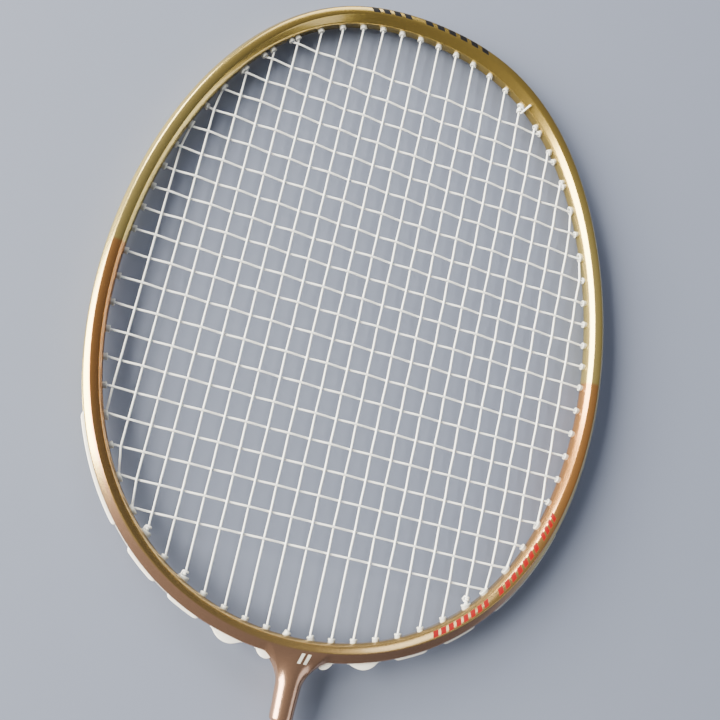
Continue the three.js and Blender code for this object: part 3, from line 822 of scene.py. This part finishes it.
# Holes are counted from the middle along the crown and the throat, and downwards on the sides
add_strip("crown_strip", top_holes[-1][:6] + top_holes[1][:6], "crown_grommet_strip")
for side, word in ((-1, "left"), (1, "right")):
    tops = top_holes[side]
    rows = row_holes[side]
    bottoms = bottom_holes[side]
    add_strip(f"upper_strip_{word}", tops[6:9] + rows[0:4], f"upper_grommet_strip_{word}")
    for number, hole in enumerate(rows[4:17], 1):
        add_strip(f"side_barrel_{word}_{number}", [hole], f"side_grommet_{word}_{number}")
    add_strip(f"lower_strip_{word}", rows[17:21], f"lower_grommet_strip_{word}", wall_section)
    for number, pair in ((1, bottoms[6:8]), (2, bottoms[4:6])):
        node = f"flat_double_grommet_{word}_{number}"
        add_strip(f"flat_double_{word}_{number}", pair, node, wall_section)
    for number, pair in ((1, bottoms[2:4]), (2, bottoms[0:2])):
        node = f"throat_grommet_{word}_{number}"
        add_strip(f"half_moon_{word}_{number}", pair, node, moon_section)

# ---------------------------------------------------------------------------------------------
# Strings: coated multifilament nylon. The main string is strung first and runs up and down, and
# the cross string is woven through it from the crown to the throat. Each is tied off twice,
# round a main beside the hole that it shares.
STRING_RADIUS = 0.41  # a little fuller than the real string, which is 0.69 thick
MAIN_WEAVE = 0.24  # the mains are strung tighter, so the crosses bend more
CROSS_WEAVE = 0.47
ASIDE = 0.45  # from the middle plane, where two strings run side by side
FIRST_LAYER = 6.03  # outward from the inner wall, in the groove
SECOND_LAYER = 6.5
GROOVE_STEP = 1.5
LIP_APART = 0.4  # how far two strings in a barrel stand to their own sides of it
LIP_FURTHEST = 0.9
STEPS_PER_CELL = 6
MOON_STEPS = 8
BEND_RADIUS = 0.9

gut = Finish(
    "string_coating", roughness=0.36, coat_weight=0.35, coat_roughness=0.2, subsurface_weight=0.1)
wear = gut.noise(130.0, 3.0)
gut.feed(base_color=wear.mixed((0.86, 0.84, 0.77, 1), (0.92, 0.91, 0.87, 1)))
gut.bump(gut.noise(5000.0, 1.0), 0.00003, 0.3)


def groove_run(start_hole, end_hole, outward, z):
    start = start_hole.exit_angle
    end = end_hole.exit_angle
    pieces = max(2, math.ceil((rim_point(start) - rim_point(end)).length / GROOVE_STEP))
    return [rim_point(lerp(start, end, i / pieces), outward, z) for i in range(1, pieces)]


def lip_point(hole, aside, line_x=None):
    """Where a string leaves a barrel. Two strings in one barrel leave side by side, a cross on
    the side that it comes from and a main as near to its own line as the barrel lets it."""
    if hole.strings == 1:
        return hole.at(-hole.reach())
    along = rim_heading(hole.angle)
    if line_x is None:
        place = hole.at(-hole.reach(), aside * 0.5)
        return place - along * math.copysign(LIP_APART, along.x * -place.x)
    place = hole.at(-0.6 * hole.reach(), aside * 0.5)
    needed = (line_x - place.x) / along.x
    moved = min(LIP_FURTHEST, max(LIP_APART, abs(needed)))
    return place + along * math.copysign(moved, needed)


def through_hole(hole, aside, outward, line_x=None):
    """From the bed outwards: the lip of the barrel, then the mouth in the groove."""
    return [lip_point(hole, aside, line_x), hole.at(outward, aside)]


def main_loop(start, start_x, end, end_x):
    """From one main to the next: along the groove, or at the throat over a half moon's floor."""
    low, high = sorted((abs(start.exit_angle), abs(end.exit_angle)))
    if low <= bottom_holes[1][3].exit_angle - 0.001:
        return (through_hole(start, -ASIDE, FIRST_LAYER, start_x)
                + groove_run(start, end, FIRST_LAYER, -ASIDE)
                + through_hole(end, -ASIDE, FIRST_LAYER, end_x)[::-1])
    margin = angle_along(low, STRIP_MARGIN) - low
    middle = []
    for step in range(MOON_STEPS + 1):
        angle = lerp(start.exit_angle, end.exit_angle, step / MOON_STEPS)
        share = (abs(angle) - low + margin) / (high - low + 2 * margin)
        middle.append(rim_point(angle, moon_floor(share) + STRING_RADIUS + 0.03, 0))
    return [lip_point(start, 0, start_x)] + middle + [lip_point(end, 0, end_x)]


def woven_run(start, crossings, end):
    """Points from one lip to another that wave from each crossing's height to the next."""
    stations = [tuple(start), *crossings, tuple(end)]
    points = [start]
    for here, there in zip(stations, stations[1:]):
        for step in range(1, STEPS_PER_CELL + 1):
            share = step / STEPS_PER_CELL
            wave = 0.5 - 0.5 * math.cos(math.pi * share)
            across = lerp(here[0], there[0], share)
            along = lerp(here[1], there[1], share)
            points.append(Vector((across, along, lerp(here[2], there[2], wave))))
    return points


def is_crossed(main, row):
    """Whether a main and a row cross inside the rim, away from a hole that they share."""
    centre = from_centre(main)
    if SHARED_TOP.get(centre) == row or SHARED_BOTTOM.get(centre) == row:
        return False
    top = top_hole(main).at(-1.0).y
    bottom = bottom_hole(main).at(-1.0).y
    reach = abs(row_holes[1][row].at(-0.8).x)
    return bottom < bed_y + row_y[row] < top and abs(main_x[main]) < reach


def crossing(main, row, cross_height):
    """The point of a crossing, at the cross string's height or under it, as the weave goes."""
    is_over = (main + row) % 2 == 0
    return main_x[main], bed_y + row_y[row], cross_height if is_over else -cross_height


def main_run(main, is_upward):
    rows = [row for row in reversed(range(len(row_y))) if is_crossed(main, row)]
    low = lip_point(bottom_hole(main), -ASIDE, main_x[main])
    high = lip_point(top_hole(main), -ASIDE, main_x[main])
    points = woven_run(low, [crossing(main, row, -MAIN_WEAVE) for row in rows], high)
    return points if is_upward else points[::-1]


def cross_run(row, is_rightward):
    mains = [main for main in range(MAINS) if is_crossed(main, row)]
    left = lip_point(row_holes[-1][row], ASIDE)
    right = lip_point(row_holes[1][row], ASIDE)
    points = woven_run(left, [crossing(main, row, CROSS_WEAVE) for main in mains], right)
    return points if is_rightward else points[::-1]


KNOT_RADIUS = 0.84
KNOT_START = 0.5
KNOT_STEPS = 12  # in a turn


def tie_off(hole, main, turns, tail_turn, tail_length, tail_rise=0.45):
    """From the groove inwards: through the hole, in turns round the main string, and a cut tail
    that points away at an angle from the right."""
    start = lip_point(hole, ASIDE)
    inward = -1 if hole.inner.y > bed_y else 1
    points = [hole.at(SECOND_LAYER, ASIDE), start]
    steps = round(KNOT_STEPS * turns)
    for step in range(steps + 1):
        turned = turns * step / steps
        turn = math.pi / 2 + 2 * math.pi * turned
        place = Vector((main_x[main], start.y + inward * (KNOT_START + 2 * STRING_RADIUS * turned), 0))
        points.append(place + KNOT_RADIUS * Vector((math.cos(turn), 0, math.sin(turn))))
    last = points[-1]
    tail = Vector((math.cos(tail_turn), math.sin(tail_turn), tail_rise)).normalized()
    return points + [last + tail, last + tail * tail_length]


def rounded_route(points):
    """Replaces each sharp corner of a route with a short bend, but not a turn back on itself."""
    apart = [here for before, here in zip(points, points[1:]) if (here - before).length > 0.01]
    points = points[:1] + apart
    route = [points[0]]
    for before, corner, after in zip(points, points[1:], points[2:]):
        back = before - corner
        ahead = after - corner
        if back.angle(ahead) > math.radians(155):
            route.append(corner)
            continue
        start = corner + back.normalized() * min(BEND_RADIUS, back.length * 0.48)
        end = corner + ahead.normalized() * min(BEND_RADIUS, ahead.length * 0.48)
        for step in range(6):
            share = step / 5
            route.append(start.lerp(corner, share).lerp(corner.lerp(end, share), share))
    route.append(points[-1])
    return route


def add_string(name, points, node):
    curve = bpy.data.curves.new(name, "CURVE")
    curve.dimensions = "3D"
    curve.bevel_depth = STRING_RADIUS * MM
    curve.bevel_resolution = 2
    curve.use_fill_caps = True
    route = rounded_route(points)
    spline = curve.splines.new("POLY")
    spline.points.add(len(route) - 1)
    for point, place in zip(spline.points, route):
        point.co = (*(place * MM), 1.0)
    curve.materials.append(gut.material)
    piece = bpy.data.objects.new(name, curve)
    show(piece)
    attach(piece, "root")
    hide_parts(node)


# The main string starts and ends at the throat
first = bottom_hole(0)
last = bottom_hole(MAINS - 1)
tie_left = bottom_hole(TIE_LEFT)
tie_right = bottom_hole(TIE_RIGHT)
points = tie_off(tie_left, TIE_LEFT, 1.25, -1.9, 1.6)[::-1]
points += groove_run(tie_left, first, SECOND_LAYER, -ASIDE)
points += through_hole(first, -ASIDE, SECOND_LAYER, main_x[0])[::-1]
for main in range(MAINS):
    is_upward = main % 2 == 0
    points += main_run(main, is_upward)
    if main < MAINS - 1:
        hole_of = top_hole if is_upward else bottom_hole
        points += main_loop(hole_of(main), main_x[main], hole_of(main + 1), main_x[main + 1])
points += through_hole(last, -ASIDE, SECOND_LAYER, main_x[MAINS - 1])
points += groove_run(last, tie_right, SECOND_LAYER, -ASIDE)
points += tie_off(tie_right, TIE_RIGHT, 2.25, -2.2, 1.6)
add_string("main_string_woven", points, "main_string")

# The cross string starts at the crown, where its tail is left long, and ends at the throat
tie_top = top_hole(CROSS_TIE_TOP)
tie_bottom = bottom_hole(CROSS_TIE_BOTTOM)
first = row_holes[1][0]
last = row_holes[-1][-1]
points = tie_off(tie_top, CROSS_TIE_TOP, 1.75, 0.94, 5.6, tail_rise=1.8)[::-1]
points += groove_run(tie_top, first, SECOND_LAYER, ASIDE)
points += through_hole(first, ASIDE, SECOND_LAYER)[::-1]
for row in range(len(row_y)):
    is_rightward = row % 2 == 1
    points += cross_run(row, is_rightward)
    if row < len(row_y) - 1:
        start, end = row_holes[1 if is_rightward else -1][row:row + 2]
        points += through_hole(start, ASIDE, FIRST_LAYER)
        points += groove_run(start, end, FIRST_LAYER, ASIDE)
        points += through_hole(end, ASIDE, FIRST_LAYER)[::-1]
points += through_hole(last, ASIDE, SECOND_LAYER)
points += groove_run(last, tie_bottom, SECOND_LAYER, ASIDE)
points += tie_off(tie_bottom, CROSS_TIE_BOTTOM, 1.25, -2.0, 1.6)
add_string("cross_string_woven", points, "cross_string")

# ---------------------------------------------------------------------------------------------
# Handle core: an eight-sided stick of light wood with a spigot at its top, bored along its
# length and glued over the end of the shaft.
wood = Finish("core_wood")
grain = wood.noise(260.0, 5.0, (1.0, 0.06, 1.0))
wood.feed(base_color=grain.mixed((0.36, 0.20, 0.09, 1), (0.58, 0.38, 0.19, 1)))
wood.feed(roughness=0.55 + 0.25 * grain)
refinish("handle_core", wood)

# ---------------------------------------------------------------------------------------------
# Butt cap: moulded in black plastic, pushed over the end of the wood and stapled through its
# skirt. A plain round badge is glued in its end.
plastic = Finish("black_plastic", base_color=(0.018, 0.018, 0.02, 1))
plastic.feed(roughness=0.36 + 0.16 * plastic.noise(900.0, 3.0))
plastic.bump(plastic.noise(1800.0, 2.0), 0.00004, 0.3)
steel = Finish("staple_wire", metallic=1.0, base_color=(0.66, 0.67, 0.69, 1))
steel.feed(roughness=0.25 + 0.2 * steel.noise(1500.0, 2.0))
badge_finish = Finish("badge_gold", metallic=0.6, roughness=0.3, coat_weight=0.6)
sheen = badge_finish.noise(900.0, 2.0)
badge_finish.feed(base_color=sheen.mixed((0.34, 0.24, 0.08, 1), (0.44, 0.31, 0.11, 1)))
refinish("butt_cap", plastic)
refinish("butt_cap_staple_left", steel)
refinish("butt_cap_staple_right", steel)
refinish("butt_badge", badge_finish)

# ---------------------------------------------------------------------------------------------
# Grip: a ribbon of perforated polyurethane, wound up the handle from the butt with each turn
# laid a little over the last.
HANDLE_ASPECT = 1.1  # the handle is wider across the bed than through it
FLAT_CORNER = 1.062  # the radius at a softened corner, for a flat at 1
RIBBON_PITCH = 21.0
RIBBON_OVERLAP = 5.0
RIBBON_THICKNESS = 0.9
RIBBON_STEPS = 64  # in a turn
RIBBON_LIFT = 0.45  # the lower edge lies over the turn before
RIBBON_EDGE = 0.6
GRIP_LOW = 3.0
GRIP_HIGH = 177.8
GRIP_FLATS = [(0, 12.6), (3, 13.0), (5, 13.3), (10, 13.0), (18, 12.25), (28, 12.0), (200, 12.0)]
TAPE_LOW = 166.0
TAPE_SQUEEZE = 0.3  # the tape presses the grip in
DOT_SPACING = 4.2


def flat_at(y_place):
    """Half the distance across the grip's flats, at a place along the handle."""
    for (here, flat), (there, next_flat) in zip(GRIP_FLATS, GRIP_FLATS[1:]):
        if y_place <= there:
            return lerp(flat, next_flat, max(0.0, (y_place - here) / (there - here)))
    return GRIP_FLATS[-1][1]


def handle_point(flat, y_place, turn, octagonal=1.0):
    """A point of the handle, whose outline goes from round to eight-sided with soft corners."""
    from_flat = (turn + math.pi / 8) % (math.pi / 4) - math.pi / 8
    radius = flat * lerp(1.0, min(FLAT_CORNER, 1 / math.cos(from_flat)), octagonal)
    wide = lerp(1.0, HANDLE_ASPECT, octagonal)
    return Vector((radius * math.cos(turn) * wide, y_place, radius * math.sin(turn)))


grip_finish = Finish("grip_tape")
dot_x = (grip_finish.attribute("along") / DOT_SPACING).math("FRACT") - 0.5
dot_y = (grip_finish.attribute("across") / DOT_SPACING).math("FRACT") - 0.5
dot = 1.0 - (dot_x * dot_x + dot_y * dot_y).math("SQRT").between(0.10, 0.17)
mottle = grip_finish.noise(220.0, 4.0)
tacky = mottle.mixed((0.028, 0.030, 0.034, 1), (0.050, 0.052, 0.058, 1))
# The perforations are painted near black, which is painted shade in the holes, and the bump presses
# them in.
grip_finish.feed(base_color=dot.mixed(tacky, (0.006, 0.006, 0.007, 1)))
grip_finish.feed(roughness=0.5 + 0.2 * mottle)
grip_finish.bump(grip_finish.noise(3200.0, 2.0) * 0.25 - dot, 0.0003, 0.6)

bm = bmesh.new()
along_layer = bm.verts.layers.float.new("along")
across_layer = bm.verts.layers.float.new("across")
ribbon = RIBBON_PITCH + RIBBON_OVERLAP
outer = [0.0, 0.25, 0.6, 2.0, 5.0, 9.0, 13.0, 17.0, 21.0, 24.0, ribbon - 0.3, ribbon]
section = [(across, 0.0) for across in outer]
section += [(across, RIBBON_THICKNESS) for across in reversed(outer)]
turns = (GRIP_HIGH - GRIP_LOW + ribbon) / RIBBON_PITCH
ring = None
for step in range(round(turns * RIBBON_STEPS) + 1):
    turned = step / RIBBON_STEPS
    points = []
    marks = []
    for across, depth in section:
        y_place = GRIP_LOW - ribbon + RIBBON_PITCH * turned + across
        flat = flat_at(y_place)
        flat -= TAPE_SQUEEZE * min(1.0, max(0.0, (y_place - TAPE_LOW + 2.3) / 2.0))
        edge = min(1.0, across / RIBBON_EDGE, (ribbon - across) / RIBBON_EDGE)
        lift = RIBBON_LIFT * (1 - across / ribbon) - 0.18 * (1 - edge) ** 2
        lift -= depth * lerp(0.6, 1.0, edge)
        points.append(handle_point(flat + lift, y_place, 2 * math.pi * turned))
        marks.append((turned * 2 * math.pi * flat * 1.06, across))
    if ring:
        ring = extrude_ring(bm, ring, points)
    else:
        ring = start_ring(bm, points)
        close_ring(bm, ring)
    for vertex, (along, across) in zip(ring, marks):
        vertex[along_layer] = along
        vertex[across_layer] = across
close_ring(bm, ring)

# Its two ends are trimmed square to the handle
for y_place, direction in ((GRIP_LOW, -1), (GRIP_HIGH, 1)):
    geometry = bm.verts[:] + bm.edges[:] + bm.faces[:]
    cut = bmesh.ops.bisect_plane(bm, geom=geometry, dist=0.0005, plane_co=(0, y_place, 0),
                                 plane_no=(0, direction, 0), clear_outer=True)
    edges = [e for e in cut["geom_cut"] if isinstance(e, bmesh.types.BMEdge)]
    bmesh.ops.holes_fill(bm, edges=edges)
add_piece("grip_ribbon", bm, grip_finish, "grip_wrap", crisp=True)

# ---------------------------------------------------------------------------------------------
# Finishing tape: a band of black vinyl wound round the top of the grip, so that the ribbon
# can't come undone.
TAPE_HIGH = 178.5
HANDLE_SIDES = 96

tape_finish = Finish("finishing_tape", base_color=(0.012, 0.012, 0.014, 1))
tape_finish.feed(roughness=0.28 + 0.2 * tape_finish.noise(600.0, 2.0))


def handle_loft(bm, rows):
    """Closed skin through rows of (flat radius, y, how eight-sided), from outside to inside."""
    turns = [2 * math.pi * i / HANDLE_SIDES for i in range(HANDLE_SIDES)]
    first = None
    for flat, y_place, octagonal in rows:
        points = [handle_point(flat, y_place, turn, octagonal) for turn in turns]
        if first:
            ring = extrude_ring(bm, ring, points)
        else:
            first = ring = start_ring(bm, points)
    bridge_rings(bm, ring, first)


bm = bmesh.new()
handle_loft(bm, [
    (12.05, TAPE_LOW, 1), (12.35, TAPE_LOW, 1), (12.45, TAPE_LOW + 0.2, 1), (12.45, 171.8, 1),
    (12.55, 172.0, 1), (12.55, TAPE_HIGH - 0.3, 1), (12.4, TAPE_HIGH, 1), (11.7, TAPE_HIGH, 1),
])
add_piece("tape_band", bm, tape_finish, "grip_finishing_tape", crisp=True)

# ---------------------------------------------------------------------------------------------
# Cone: a smooth moulding in black plastic, pressed over the spigot of the wood. It narrows to
# the shaft, and its outline goes from eight-sided to round.
CONE_ROWS = [
    (8.9, 165.4, 0), (10.0, 165.4, 1), (10.0, 178.1, 1), (11.3, 178.1, 1), (11.62, 178.5, 1),
    (11.62, 180.6, 1), (11.35, 181.2, 1), (10.9, 183.5, 0.97), (10.35, 187, 0.9),
    (9.75, 191, 0.78), (9.05, 195.5, 0.62), (8.3, 200, 0.45), (7.5, 204.5, 0.3),
    (6.75, 208.5, 0.2), (6.05, 212, 0.12), (5.4, 215.5, 0.05), (4.95, 218.5, 0),
    (4.7, 220.8, 0), (4.45, 221.8, 0), (4.1, 222.0, 0), (3.85, 221.8, 0), (3.85, 212, 0),
    (6.0, 198, 0.3), (8.0, 185, 0.8), (8.9, 178, 0),
]
bm = bmesh.new()
handle_loft(bm, CONE_ROWS)
add_piece("cone_moulding", bm, plastic, "cone")
